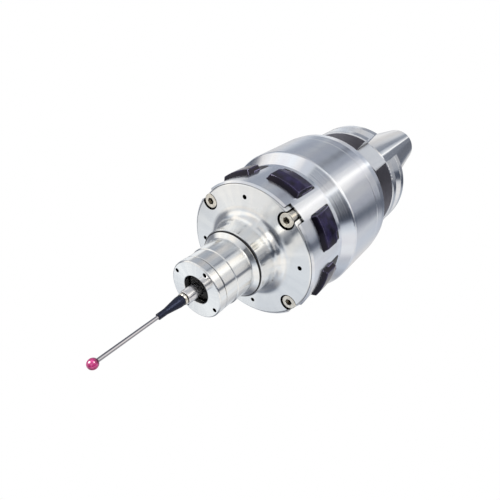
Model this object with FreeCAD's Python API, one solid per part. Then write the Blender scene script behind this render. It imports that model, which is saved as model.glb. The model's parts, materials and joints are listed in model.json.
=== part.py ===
# Touch probe for a machine tool, on a steep-taper shank of size 40.
# Units are millimetres. The origin is on the axis in the taper's gauge plane.
# +Z runs up the taper into the spindle, so the stylus hangs down towards -Z.
# +X runs through one of the two drive slots of the flange.
import FreeCAD, Part
import math
import os

# Steep-taper shank, size 40, with the standard's sizes
GAUGE_RADIUS = 22.225
TAPER_LENGTH = 68.4
TAPER_RATIO = 7.0 / 24.0
FLANGE_RADIUS = 31.775
FLANGE_GAP = 3.2
FLANGE_THICK = 15.9
GRIP_CENTRE_DEPTH = 7.9
GRIP_WIDTH = 7.07
GRIP_DEPTH = 3.65
SLOT_WIDTH = 16.1
SLOT_FLOOR_DEEP = 22.8
SLOT_FLOOR_SHALLOW = 25.0
PILOT_RADIUS = 8.5
PILOT_DEPTH = 5.5
STUD_THREAD_RADIUS = 7.0
STUD_THREAD_DEPTH = 34.0
TAPER_RELIEF = 0.4
TAPER_END_ROUNDING = 1.2
FLANGE_ROUNDING = 0.6
GRIP_ROUNDING = 0.3
GRIP_ROOT_ROUNDING = 0.8
HUB_ROOT_ROUNDING = 1.5

# Hub below the flange, where the probe body is clamped and centred
HUB_RADIUS = 22.0
HUB_LENGTH = 18.9
HUB_ROUNDING = 0.8
SOCKET_DEPTH = 14.5
SPIGOT_RADIUS = 13.0
SPIGOT_CLEARANCE = 0.25
SPIGOT_END_GAP = 1.0
SPIGOT_ROUNDING = 1.0
CLAMP_SCREW_HEIGHT = 7.5
CLAMP_SCREW_RADIUS = 3.0
CLAMP_SCREW_SUNK = 0.6

# Housing, from the rear cover down to the front cover
HUB_GAP = 4.4
REAR_COVER_LENGTH = 10.6
BODY_LENGTH = 24.0
SHOULDER_LENGTH = 5.6
RING_LENGTH = 19.7
COVER_THICK = 7.5
BODY_RADIUS = 36.7
BODY_WALL = 4.2
REAR_PLATE = 4.0
REAR_TAPER = 0.5
REAR_TAPER_LENGTH = 5.0
REAR_ROUNDING = 0.9
REAR_BOSS_HEIGHT = 1.5
REAR_PIN_CIRCLE = 29.0
REAR_PIN_RADIUS = 1.6
REAR_PIN_DEPTH = 2.5
GLAND_DEPTH = 0.9
GLAND_HEIGHT = 2.0
SHOULDER_ROUNDING = 2.2
INNER_FLANGE_BORE = 22.0
INNER_FLANGE_ROUNDING = 1.5
BROKEN_EDGE = 0.3
OVERCUT = 1.0
RING_TOP_RADIUS = 32.3
RING_RADIUS = 33.2
RING_RECESS = 0.5
RING_LIP = 0.1
RING_BORE_RADIUS = 24.2
COVER_RADIUS = 32.15
COVER_ROUNDING = 0.7
COVER_GAP = 0.15
SEAT_CLEARANCE = 0.05

# Pockets round the housing: eight windows, four screws, four jacking holes
HEAD_TURN = 5.0
WINDOW_COUNT = 8
QUARTERS = 4
SCREW_CIRCLE = 28.9
SCREW_SHANK_RADIUS = 2.0
SCREW_HEAD_RADIUS = 3.5
SCREW_HEAD_HEIGHT = 4.0
SCREW_HEAD_ROUNDING = 0.5
SCREW_HEX_ACROSS = 3.0
SCREW_LENGTH = 28.0
SCREW_CHAMFER = 0.5
SCREW_RECESS = 0.4
SCREW_HEX_DEPTH = 2.2
SCREW_TURN = 12.0
SCREW_HOLE_RADIUS = 2.2
COUNTERBORE_RADIUS = 4.1
NOTCH_WIDTH = 9.2
JACKING_CIRCLE = 26.7
JACKING_RADIUS = 1.05
JACKING_DEPTH = 5.0

# Infrared window, curved round the axis. Depths are measured back from the cover's back face.
WINDOW_PAD = 31.0
WINDOW_FOOT = 31.6
WINDOW_RADIUS = 35.0
WINDOW_REAR_RADIUS = 34.3
WINDOW_FOOT_FRONT_DEPTH = 1.5
WINDOW_TOP_FRONT_DEPTH = 3.3
WINDOW_CREASE_DEPTH = 9.3
WINDOW_TOP_REAR_DEPTH = 14.4
WINDOW_FOOT_REAR_DEPTH = 15.8
WINDOW_FOOT_HALF = 8.4
WINDOW_TOP_HALF = 7.2
WINDOW_CORNER = 1.6
WINDOW_NOTCH_LENGTH = 4.2
WINDOW_NOTCH_DEPTH = 4.0
WINDOW_EDGE = 0.35
WINDOW_WALL = 1.6
LIGHT_HOLE_LENGTH = 12.0
LIGHT_HOLE_HEIGHT = 8.0
LIGHT_HOLE_DEPTH = 7.8

# Neck and nose
NECK_RADIUS = 16.3
NECK_FILLET = 6.0
NECK_LENGTH = 12.2
NECK_BORE = 11.9
SEAL_RADIUS = 15.75
SEAL_RING_THICK = 0.5
SLEEVE_FLARE_LENGTH = 1.6
SLEEVE_FLARE_RADIUS = 15.7
SLEEVE_FLARE_ROUNDING = 0.6
SLEEVE_RADIUS = 13.2
SLEEVE_LENGTH = 11.2
SLEEVE_FRONT_RADIUS = 12.8
SLEEVE_FRONT_LENGTH = 6.7
CAP_RADIUS = 12.9
CAP_LENGTH = 4.2
CAP_ROUNDING = 0.6
CAP_GROOVE_WIDTH = 0.45
CAP_GROOVE_DEPTH = 0.7
CAP_LIP = 2.6
CAP_HOLE_CIRCLE = 11.05
CAP_HOLE_RADIUS = 0.95
CAP_HOLE_DEPTH = 2.2
CAP_TURN = -5.4
NOSE_OPENING = 6.35
SLEEVE_BORE = 9.6
CAP_THREAD_WALL = 1.4
CAP_THREAD_LENGTH = 4.0
SEAL_THICK = 0.6
SEAL_FOLD_HEIGHT = 4.2
SEAL_FOLD_RADIUS = 6.0
SEAL_WEB_HEIGHT = 0.9
SEAL_COLLAR_HEIGHT = 2.4

# Three-point seat that carries the stylus plate
SEAT_RING_DEPTH = 3.0
SEAT_RING_THICK = 2.6
SEAT_RING_BORE = 5.2
SEAT_CIRCLE = 6.5
SEAT_BALL_RADIUS = 1.2
SEAT_BALL_OFFSET = 1.3
SEAT_ROLLER_RADIUS = 0.9
SEAT_ROLLER_LENGTH = 4.4
SEAT_GAP = 0.75
ARM_COUNT = 3
FIRST_ARM = 90.0
ARM_WIDTH = 5.0
PLATE_RADIUS = 9.3
PLATE_RISE = 2.4
PLATE_THICK = 2.5
PLATE_HUB_RADIUS = 3.6
PLATE_HUB_LENGTH = 3.8
CHAMBER_RADIUS = 10.8

# Preload spring, its follower and plug
PIVOT_HEIGHT = 1.0
THRUST_BALL_RADIUS = 1.5
FOLLOWER_PIN_RADIUS = 1.3
FOLLOWER_PIN_LENGTH = 3.1
FOLLOWER_FLANGE_RADIUS = 6.6
FOLLOWER_FLANGE_THICK = 1.5
FOLLOWER_STEM_RADIUS = 2.5
FOLLOWER_STEM_LENGTH = 16.9
RUNNING_CLEARANCE = 0.05
SPRING_LENGTH = 11.5
SPRING_WIRE_RADIUS = 0.55
SPRING_COIL_RADIUS = 4.6
SPRING_TURNS = 5.0
PLUG_THICK = 4.0
PLUG_HOLE_RADIUS = 1.0
PLUG_HOLE_CIRCLE = 7.0
BOSS_RADIUS = 14.0
BOSS_HEIGHT = 8.9

# Stylus
HOLDER_RADIUS = 2.95
HOLDER_REACH = 6.3
HOLDER_STUD_RADIUS = 1.9
HOLDER_STUD_LENGTH = 2.7
HOLDER_FLAT_FIRST = 3.7
HOLDER_FLAT_LENGTH = 7.7
HOLDER_ACROSS = 5.0
HOLDER_TURN = 0.0
BREAK_GAP = 1.4
BREAK_RING_RADIUS = 2.45
BREAK_RING_THICK = 1.25
BREAK_THREAD_RADIUS = 1.5
BREAK_THREAD_LENGTH = 4.5
BREAK_NECK_RADIUS = 1.4
STYLUS_LENGTH = 40.0
BASE_LENGTH = 12.2
BASE_BACK_RADIUS = 2.25
BASE_BACK_LENGTH = 2.0
BASE_FRONT_RADIUS = 1.3
BASE_FRONT_LENGTH = 3.8
STEM_RADIUS = 0.75
STEM_SOCKET = 6.0
TIP_RADIUS = 2.0
TIP_SOCKET_DEPTH = 1.0

# Electronics and cells
BOARD_THICK = 1.6
BOARD_CLEARANCE = 1.5
SIGNAL_BOARD_OVERHANG = 4.0
WIRE_HOLE_RADIUS = 3.0
CHIP_SIZE = 8.0
CHIP_HEIGHT = 1.6
CHIP_PLACES = ((0.0, 11.0), (-10.0, 0.0))
COIL_RADIUS = 4.0
COIL_HEIGHT = 4.0
COIL_PLACE = (10.0, -6.0)
CAPACITOR_RADIUS = 2.5
CAPACITOR_HEIGHT = 6.0
CAPACITOR_PLACE = (-3.0, -13.0)
CELL_RADIUS = 7.25
CELL_LENGTH = 22.0
CELL_OFFSET = 12.5
CELL_BUTTON_RADIUS = 3.2
CELL_BUTTON_HEIGHT = 1.0
CELL_SLACK = 1.8
CAGE_FLOOR = 1.6
CAGE_WALL = 1.4
CAGE_CLEARANCE = 0.2
CAGE_REACH = 0.7
CONTACT_THICK = 0.6
LED_BAND_RADIUS = 20.5
LED_BAND_THICK = 1.0
LED_BAND_LENGTH = 14.8
LED_CARRIER_RADIUS = 17.5
LED_CARRIER_LENGTH = 17.8
LED_CARRIER_FOOT = 1.5
LED_RADIUS = 1.5
LED_LENGTH = 3.0
LED_SPREAD = 5.0

# Heights along the axis that follow from these lengths, from the gauge plane downwards
FLANGE_REAR = -FLANGE_GAP
FLANGE_FRONT = FLANGE_REAR - FLANGE_THICK
GRIP_CENTRE = FLANGE_REAR - GRIP_CENTRE_DEPTH
HUB_END = FLANGE_FRONT - HUB_LENGTH
SOCKET_TOP = HUB_END + SOCKET_DEPTH
SPIGOT_TOP = SOCKET_TOP - SPIGOT_END_GAP
CLAMP_SCREW_Z = HUB_END + CLAMP_SCREW_HEIGHT
REAR_FACE = HUB_END - HUB_GAP
SEAM_Z = REAR_FACE - REAR_COVER_LENGTH
RIDGE_Z = SEAM_Z - BODY_LENGTH
RING_LINE_Z = RIDGE_Z - SHOULDER_LENGTH
COVER_BACK = RING_LINE_Z - RING_LENGTH
COVER_FACE = COVER_BACK - COVER_THICK
NECK_END = COVER_FACE - NECK_LENGTH
SLEEVE_SHOULDER = NECK_END - SEAL_RING_THICK
SLEEVE_FLARE_Z = SLEEVE_SHOULDER - SLEEVE_FLARE_LENGTH
SLEEVE_STEP_Z = SLEEVE_SHOULDER - SLEEVE_LENGTH
CAP_LINE_Z = SLEEVE_STEP_Z - SLEEVE_FRONT_LENGTH
CAP_FACE = CAP_LINE_Z - CAP_LENGTH

# Heights of the hidden parts
CELL_ROOM = CONTACT_THICK + CELL_LENGTH + CELL_SLACK
INNER_FLANGE_Z = REAR_FACE - REAR_PLATE - CELL_ROOM - CAGE_FLOOR - BOARD_THICK
WINDOW_FOOT_FRONT = COVER_BACK + WINDOW_FOOT_FRONT_DEPTH
WINDOW_TOP_FRONT = COVER_BACK + WINDOW_TOP_FRONT_DEPTH
WINDOW_CREASE = COVER_BACK + WINDOW_CREASE_DEPTH
WINDOW_TOP_REAR = COVER_BACK + WINDOW_TOP_REAR_DEPTH
WINDOW_FOOT_REAR = COVER_BACK + WINDOW_FOOT_REAR_DEPTH
LIGHT_HOLE_Z = COVER_BACK + LIGHT_HOLE_DEPTH
LED_BAND_TOP = COVER_BACK + LED_CARRIER_FOOT + LED_BAND_LENGTH
LED_CARRIER_TOP = COVER_BACK + LED_CARRIER_LENGTH
BOSS_END = COVER_BACK + BOSS_HEIGHT
SEAT_RING_FACE = NECK_END + SEAT_RING_DEPTH
PLATE_UNDER = SEAT_RING_FACE + PLATE_RISE
PLATE_TOP = PLATE_UNDER + PLATE_THICK
PLATE_HUB_END = PLATE_UNDER - PLATE_HUB_LENGTH
PIVOT_Z = PLATE_UNDER + PIVOT_HEIGHT
FOLLOWER_FLANGE_Z = PIVOT_Z + THRUST_BALL_RADIUS + FOLLOWER_PIN_LENGTH
SPRING_FOOT = FOLLOWER_FLANGE_Z + FOLLOWER_FLANGE_THICK
SPRING_TOP = SPRING_FOOT + SPRING_LENGTH
FOLLOWER_STEM_TOP = SPRING_FOOT + FOLLOWER_STEM_LENGTH

# Heights of the stylus and its holder
HOLDER_STUD_TOP = PLATE_HUB_END + HOLDER_STUD_LENGTH
HOLDER_END = CAP_FACE - HOLDER_REACH
HOLDER_FLAT_END = HOLDER_END + HOLDER_FLAT_FIRST
HOLDER_FLAT_TOP = HOLDER_FLAT_END + HOLDER_FLAT_LENGTH
STYLUS_BACK = HOLDER_END - BREAK_GAP

# Radii that follow from others
GRIP_ROOT_RADIUS = FLANGE_RADIUS - GRIP_DEPTH
MAIN_BOARD_RADIUS = BODY_RADIUS - BODY_WALL - BOARD_CLEARANCE

ORIGIN = FreeCAD.Vector(0, 0, 0)
UP = FreeCAD.Vector(0, 0, 1)
OUT = FreeCAD.Vector(1, 0, 0)


def turned(corners):
    """Solid of revolution about Z. A corner is (radius, z) or (radius, z, rounding)."""
    points = [FreeCAD.Vector(c[0], 0, c[1]) for c in corners]
    rounding = [c[2] if len(c) > 2 else 0.0 for c in corners]
    ends = []
    for i, point in enumerate(points):
        if not rounding[i]:
            ends.append((point, None, point))
            continue
        back = (points[i - 1] - point).normalize()
        ahead = (points[(i + 1) % len(points)] - point).normalize()
        half = back.getAngle(ahead) / 2
        middle = (back + ahead).normalize()
        reach = rounding[i] / math.tan(half)
        bulge = rounding[i] / math.sin(half) - rounding[i]
        ends.append((point + back * reach, point + middle * bulge, point + ahead * reach))
    edges = []
    for i, (start, through, end) in enumerate(ends):
        if through:
            edges.append(Part.Arc(start, through, end).toShape())
        following = ends[(i + 1) % len(ends)][0]
        if (following - end).Length > 1e-6:
            edges.append(Part.LineSegment(end, following).toShape())
    return Part.Face(Part.Wire(edges)).revolve(ORIGIN, UP, 360)


def rod(radius, bottom, top, x=0.0, y=0.0):
    """Upright cylinder between two heights."""
    return Part.makeCylinder(radius, top - bottom, FreeCAD.Vector(x, y, bottom), UP)


def block(x_range, y_range, z_range):
    """Box given by its limits along X, Y and Z."""
    size = [pair[1] - pair[0] for pair in (x_range, y_range, z_range)]
    corner = FreeCAD.Vector(x_range[0], y_range[0], z_range[0])
    return Part.makeBox(size[0], size[1], size[2], corner)


def spun(shape, degrees):
    """Copy of a shape, turned about Z."""
    copy = shape.copy()
    copy.rotate(ORIGIN, UP, degrees)
    return copy


def ring_of(shape, count, first=0.0):
    """The same shape repeated round Z, as a list."""
    return [spun(shape, first + 360.0 * i / count) for i in range(count)]


def on_circle(radius, degrees):
    """Point in the plane z = 0 at a radius and an angle."""
    angle = math.radians(degrees)
    return radius * math.cos(angle), radius * math.sin(angle)


def hexagon(across, bottom, top):
    """Upright hexagonal prism by its width across flats."""
    corner = across / 2 / math.cos(math.pi / 6)
    points = [FreeCAD.Vector(*on_circle(corner, 60.0 * i), bottom) for i in range(7)]
    return Part.Face(Part.makePolygon(points)).extrude(FreeCAD.Vector(0, 0, top - bottom))


# Shank

def taper_shank():
    end_radius = GAUGE_RADIUS - TAPER_LENGTH * TAPER_RATIO / 2
    grip_root_half = GRIP_WIDTH / 2 - GRIP_DEPTH * math.tan(math.radians(30))
    shank = turned([
        (0, TAPER_LENGTH),
        (end_radius, TAPER_LENGTH, TAPER_END_ROUNDING),
        (GAUGE_RADIUS, 0),
        (GAUGE_RADIUS - TAPER_RELIEF, -TAPER_RELIEF),
        (GAUGE_RADIUS - TAPER_RELIEF, FLANGE_REAR, TAPER_RELIEF),
        (FLANGE_RADIUS, FLANGE_REAR, FLANGE_ROUNDING),
        (FLANGE_RADIUS, GRIP_CENTRE + GRIP_WIDTH / 2, GRIP_ROUNDING),
        (GRIP_ROOT_RADIUS, GRIP_CENTRE + grip_root_half, GRIP_ROOT_ROUNDING),
        (GRIP_ROOT_RADIUS, GRIP_CENTRE - grip_root_half, GRIP_ROOT_ROUNDING),
        (FLANGE_RADIUS, GRIP_CENTRE - GRIP_WIDTH / 2, GRIP_ROUNDING),
        (FLANGE_RADIUS, FLANGE_FRONT, FLANGE_ROUNDING),
        (HUB_RADIUS, FLANGE_FRONT, HUB_ROOT_ROUNDING),
        (HUB_RADIUS, HUB_END, HUB_ROUNDING),
        (0, HUB_END),
    ])
    across = (-SLOT_WIDTH / 2, SLOT_WIDTH / 2)
    through = (FLANGE_FRONT - OVERCUT, FLANGE_REAR + OVERCUT)
    slots = [
        block((SLOT_FLOOR_DEEP, FLANGE_RADIUS + OVERCUT), across, through),
        block((-FLANGE_RADIUS - OVERCUT, -SLOT_FLOOR_SHALLOW), across, through),
    ]
    pilot = rod(PILOT_RADIUS, TAPER_LENGTH - PILOT_DEPTH, TAPER_LENGTH + OVERCUT)
    thread = rod(STUD_THREAD_RADIUS, TAPER_LENGTH - STUD_THREAD_DEPTH, TAPER_LENGTH)
    socket = rod(SPIGOT_RADIUS + SPIGOT_CLEARANCE, HUB_END - OVERCUT, SOCKET_TOP)
    screw_holes = ring_of(Part.makeCylinder(CLAMP_SCREW_RADIUS, HUB_RADIUS + OVERCUT,
                                            FreeCAD.Vector(0, 0, CLAMP_SCREW_Z), OUT), QUARTERS)
    return shank.cut(Part.makeCompound(slots + screw_holes + [pilot, thread, socket]))


def clamp_screws():
    """Four grub screws that press on the spigot and centre the stylus."""
    length = HUB_RADIUS - SPIGOT_RADIUS - CLAMP_SCREW_SUNK
    screw = Part.makeCylinder(CLAMP_SCREW_RADIUS - SEAT_CLEARANCE, length,
                              FreeCAD.Vector(SPIGOT_RADIUS, 0, CLAMP_SCREW_Z), OUT)
    socket = hexagon(SCREW_HEX_ACROSS, 0, SCREW_HEX_DEPTH)
    socket.rotate(ORIGIN, FreeCAD.Vector(0, 1, 0), 90)
    socket.translate(FreeCAD.Vector(SPIGOT_RADIUS + length - SCREW_HEX_DEPTH, 0, CLAMP_SCREW_Z))
    return Part.makeCompound(ring_of(screw.cut(socket), QUARTERS))


# Housing

def seam_thread_radius():
    """Radius at which the rear cover screws onto the body."""
    return BODY_RADIUS - BODY_WALL / 2


def rear_cover():
    """Screwed-on cap over the cells, with the spigot that goes into the hub."""
    boss_radius = HUB_RADIUS - OVERCUT
    boss_top = REAR_FACE + REAR_BOSS_HEIGHT
    inside = seam_thread_radius() + SEAT_CLEARANCE
    cap = turned([
        (0, SPIGOT_TOP),
        (SPIGOT_RADIUS, SPIGOT_TOP, SPIGOT_ROUNDING),
        (SPIGOT_RADIUS, boss_top, BROKEN_EDGE),
        (boss_radius, boss_top, BROKEN_EDGE),
        (boss_radius, REAR_FACE, BROKEN_EDGE),
        (BODY_RADIUS - REAR_TAPER, REAR_FACE, REAR_ROUNDING),
        (BODY_RADIUS, REAR_FACE - REAR_TAPER_LENGTH),
        (BODY_RADIUS, SEAM_Z, BROKEN_EDGE),
        (inside, SEAM_Z),
        (inside, REAR_FACE - REAR_PLATE),
        (0, REAR_FACE - REAR_PLATE),
    ])
    pin_hole = rod(REAR_PIN_RADIUS, REAR_FACE - REAR_PIN_DEPTH, REAR_FACE + OVERCUT, REAR_PIN_CIRCLE)
    return cap.cut(Part.makeCompound(ring_of(pin_hole, QUARTERS, HEAD_TURN + 45)))


def body_shell():
    """Main tube, with the conical shoulder behind the windows and an inner flange."""
    bore = BODY_RADIUS - BODY_WALL
    thread_radius = seam_thread_radius()
    thread_end = REAR_FACE - REAR_PLATE - SEAT_CLEARANCE
    seam = SEAM_Z - SEAT_CLEARANCE
    shell = turned([
        (INNER_FLANGE_BORE, RING_LINE_Z),
        (RING_TOP_RADIUS, RING_LINE_Z),
        (BODY_RADIUS, RIDGE_Z, SHOULDER_ROUNDING),
        (BODY_RADIUS, seam, BROKEN_EDGE),
        (thread_radius - GLAND_DEPTH, seam),
        (thread_radius - GLAND_DEPTH, SEAM_Z + GLAND_HEIGHT),
        (thread_radius, SEAM_Z + GLAND_HEIGHT),
        (thread_radius, thread_end),
        (bore, thread_end),
        (bore, INNER_FLANGE_Z, INNER_FLANGE_ROUNDING),
        (INNER_FLANGE_BORE, INNER_FLANGE_Z),
    ])
    hole = rod(SCREW_SHANK_RADIUS, RING_LINE_Z - OVERCUT, INNER_FLANGE_Z + OVERCUT, SCREW_CIRCLE)
    return shell.cut(Part.makeCompound(ring_of(hole, QUARTERS, HEAD_TURN)))


def rear_seal():
    """O-ring in the gland between the body and the rear cover."""
    section = GLAND_DEPTH / 2
    middle = seam_thread_radius() - section
    return Part.makeTorus(middle, section, FreeCAD.Vector(0, 0, SEAM_Z + GLAND_HEIGHT / 2), UP)


def window_first():
    """Angle of the first window, half a step past a screw."""
    return HEAD_TURN + 180.0 / WINDOW_COUNT


def rounded_outline(corners, rounding, out):
    """Closed wire in the plane x = out through (y, z) corners, with every corner rounded."""
    points = [FreeCAD.Vector(out, y, z) for y, z in corners]
    edges = []
    ends = []
    for i, point in enumerate(points):
        back = (points[i - 1] - point).normalize()
        ahead = (points[(i + 1) % len(points)] - point).normalize()
        half = back.getAngle(ahead) / 2
        reach = rounding / math.tan(half)
        bulge = rounding / math.sin(half) - rounding
        through = point + (back + ahead).normalize() * bulge
        ends.append((point + back * reach, through, point + ahead * reach))
    for i, (start, through, end) in enumerate(ends):
        edges.append(Part.Arc(start, through, end).toShape())
        edges.append(Part.LineSegment(end, ends[(i + 1) % len(ends)][0]).toShape())
    return Part.Wire(edges)


def window_outline(out, half, grow):
    """Outline of a window seen from outside. Its rear corner is cut out at the +Y end."""
    front = WINDOW_FOOT_FRONT - grow
    rear = WINDOW_FOOT_REAR + grow
    step = rear - WINDOW_NOTCH_DEPTH
    inner = half - WINDOW_NOTCH_LENGTH
    corners = ((-half, front), (half, front), (half, step), (inner, step), (inner, rear), (-half, rear))
    return rounded_outline(corners, WINDOW_CORNER, out)


def window_pair(shape):
    """The same piece on both sides of every screw, mirrored, with the notches away from the screw."""
    mirrored = shape.mirror(ORIGIN, FreeCAD.Vector(0, 1, 0))
    step = 180.0 / WINDOW_COUNT
    return ring_of(shape, QUARTERS, HEAD_TURN + step) + ring_of(mirrored, QUARTERS, HEAD_TURN - step)


def window_pocket():
    """What the ring loses for one window: its pad and the hole for the light."""
    outline = window_outline(WINDOW_PAD, WINDOW_FOOT_HALF + SEAT_CLEARANCE, SEAT_CLEARANCE)
    outside = max(RING_RADIUS, RING_TOP_RADIUS) + OVERCUT
    pad = Part.Face(outline).extrude(FreeCAD.Vector(outside - WINDOW_PAD, 0, 0))
    light = block((LED_BAND_RADIUS, RING_RADIUS), (-LIGHT_HOLE_LENGTH / 2, LIGHT_HOLE_LENGTH / 2),
                  (LIGHT_HOLE_Z - LIGHT_HOLE_HEIGHT / 2, LIGHT_HOLE_Z + LIGHT_HOLE_HEIGHT / 2))
    return pad.fuse(light)


def window_ring():
    """Ring that carries the windows. The front cover sits in its recess."""
    recess = COVER_RADIUS + COVER_GAP
    lip = recess + RING_LIP
    front = COVER_FACE + RING_RECESS
    ring = turned([
        (RING_BORE_RADIUS, RING_LINE_Z),
        (RING_BORE_RADIUS, COVER_BACK),
        (recess, COVER_BACK),
        (recess, front),
        (lip, front),
        (RING_RADIUS, front + RING_RADIUS - lip),
        (RING_TOP_RADIUS, RING_LINE_Z),
    ])
    notch = block((SCREW_CIRCLE, RING_RADIUS + OVERCUT), (-NOTCH_WIDTH / 2, NOTCH_WIDTH / 2),
                  (COVER_FACE - OVERCUT, screw_seat_z()))
    hole = rod(SCREW_HOLE_RADIUS, COVER_BACK - OVERCUT, RING_LINE_Z + OVERCUT, SCREW_CIRCLE)
    pockets = window_pair(window_pocket())
    notches = ring_of(notch, QUARTERS, HEAD_TURN)
    holes = ring_of(hole, QUARTERS, HEAD_TURN)
    return ring.cut(Part.makeCompound(pockets + notches + holes))


def screw_seat_z():
    """Floor of the counterbores, on which the screw heads sit."""
    return COVER_FACE + SCREW_RECESS + SCREW_HEAD_HEIGHT


def ir_windows():
    """Eight windows of dark filter plastic with sloping sides, glued into the ring."""
    band = turned([
        (WINDOW_PAD - OVERCUT, WINDOW_FOOT_FRONT),
        (WINDOW_FOOT, WINDOW_FOOT_FRONT),
        (WINDOW_RADIUS, WINDOW_TOP_FRONT, WINDOW_EDGE),
        (WINDOW_RADIUS, WINDOW_CREASE),
        (WINDOW_REAR_RADIUS, WINDOW_TOP_REAR, WINDOW_EDGE),
        (WINDOW_FOOT, WINDOW_FOOT_REAR),
        (WINDOW_PAD - OVERCUT, WINDOW_FOOT_REAR),
    ])
    sides = Part.makeLoft([
        window_outline(WINDOW_PAD, WINDOW_FOOT_HALF, 0),
        window_outline(WINDOW_RADIUS + OVERCUT, WINDOW_TOP_HALF, 0),
    ], True, True)
    window = band.common(sides)
    end_turn = math.asin(WINDOW_TOP_HALF / WINDOW_RADIUS)
    end_height = WINDOW_RADIUS * math.cos(end_turn) - WINDOW_EDGE
    middles = [(edge, edge.CenterOfMass) for edge in window.Edges]
    crest_ends = [edge for edge, middle in middles if middle.x > end_height and middle.z < WINDOW_CREASE
                  and abs(middle.y) > WINDOW_TOP_HALF / 2]
    window = window.makeFillet(WINDOW_EDGE, crest_ends)
    hollow = block((WINDOW_PAD - OVERCUT, WINDOW_RADIUS - 2 * WINDOW_WALL),
                   (-LIGHT_HOLE_LENGTH / 2, LIGHT_HOLE_LENGTH / 2),
                   (WINDOW_TOP_FRONT + BROKEN_EDGE, WINDOW_CREASE + WINDOW_WALL))
    return Part.makeCompound(window_pair(window.cut(hollow)))


def led_carrier():
    """Moulded ring on the back of the front cover, which the flexible board is wrapped round."""
    outside = LED_BAND_RADIUS + LED_BAND_THICK
    return turned([
        (LED_CARRIER_RADIUS, LED_CARRIER_TOP),
        (LED_CARRIER_RADIUS, COVER_BACK),
        (outside, COVER_BACK),
        (outside, COVER_BACK + LED_CARRIER_FOOT),
        (LED_BAND_RADIUS, COVER_BACK + LED_CARRIER_FOOT),
        (LED_BAND_RADIUS, LED_CARRIER_TOP),
    ])


def led_band():
    """Flexible board bent into a ring behind the windows."""
    return turned([
        (LED_BAND_RADIUS, LED_BAND_TOP),
        (LED_BAND_RADIUS, COVER_BACK + LED_CARRIER_FOOT),
        (LED_BAND_RADIUS + LED_BAND_THICK, COVER_BACK + LED_CARRIER_FOOT),
        (LED_BAND_RADIUS + LED_BAND_THICK, LED_BAND_TOP),
    ])


def ir_leds():
    """Two domed infrared diodes behind every window, facing outwards."""
    seat = LED_BAND_RADIUS + LED_BAND_THICK
    straight = LED_LENGTH - LED_RADIUS
    base = FreeCAD.Vector(LED_BAND_RADIUS, 0, LIGHT_HOLE_Z)
    can = Part.makeCylinder(LED_RADIUS, straight + LED_BAND_THICK, base, OUT)
    dome = Part.makeSphere(LED_RADIUS, FreeCAD.Vector(seat + straight, 0, LIGHT_HOLE_Z))
    led = can.fuse(dome).cut(rod(seat, COVER_BACK, LED_BAND_TOP))
    leds = []
    for side in (-1, 1):
        turn = side * math.degrees(LED_SPREAD / 2 / seat)
        leds += ring_of(led, WINDOW_COUNT, window_first() + turn)
    return Part.makeCompound(leds)


def front_cover():
    """Flange and neck, turned from one bar, with the spring chamber inside."""
    cover = turned([
        (CHAMBER_RADIUS, BOSS_END),
        (CHAMBER_RADIUS, SEAT_RING_FACE),
        (NECK_BORE, SEAT_RING_FACE),
        (NECK_BORE, NECK_END),
        (SEAL_RADIUS - BROKEN_EDGE, NECK_END),
        (NECK_RADIUS, NECK_END + BROKEN_EDGE, BROKEN_EDGE / 2),
        (NECK_RADIUS, COVER_FACE, NECK_FILLET),
        (COVER_RADIUS, COVER_FACE, COVER_ROUNDING),
        (COVER_RADIUS, COVER_BACK),
        (BOSS_RADIUS, COVER_BACK, SPIGOT_ROUNDING),
        (BOSS_RADIUS, BOSS_END),
    ])
    counterbore = rod(COUNTERBORE_RADIUS, COVER_FACE - OVERCUT, screw_seat_z(), SCREW_CIRCLE)
    hole = rod(SCREW_HOLE_RADIUS, screw_seat_z() - OVERCUT, COVER_BACK + OVERCUT, SCREW_CIRCLE)
    jack = rod(JACKING_RADIUS, COVER_FACE - OVERCUT, COVER_FACE + JACKING_DEPTH, JACKING_CIRCLE)
    screw_holes = ring_of(counterbore.fuse(hole), QUARTERS, HEAD_TURN)
    jacks = ring_of(jack, QUARTERS, HEAD_TURN + 45)
    return cover.cut(Part.makeCompound(screw_holes + jacks))


def cover_screws():
    """Four socket head cap screws M4."""
    top = COVER_FACE + SCREW_RECESS
    seat = screw_seat_z()
    end = seat + SCREW_LENGTH
    screw = turned([
        (0, top),
        (SCREW_HEAD_RADIUS, top, SCREW_HEAD_ROUNDING),
        (SCREW_HEAD_RADIUS, seat),
        (SCREW_SHANK_RADIUS, seat),
        (SCREW_SHANK_RADIUS, end - SCREW_CHAMFER),
        (SCREW_SHANK_RADIUS - SCREW_CHAMFER, end),
        (0, end),
    ])
    screw = screw.cut(hexagon(SCREW_HEX_ACROSS, top - OVERCUT, top + SCREW_HEX_DEPTH))
    screw.rotate(ORIGIN, UP, SCREW_TURN)
    screw.translate(FreeCAD.Vector(SCREW_CIRCLE, 0, 0))
    return Part.makeCompound(ring_of(screw, QUARTERS, HEAD_TURN))


# Nose

def neck_seal():
    """Flat rubber ring that shows as a dark line between neck and sleeve."""
    return turned([
        (NECK_BORE, NECK_END),
        (NECK_BORE, SLEEVE_SHOULDER),
        (SEAL_RADIUS, SLEEVE_SHOULDER),
        (SEAL_RADIUS, NECK_END),
    ])


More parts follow.
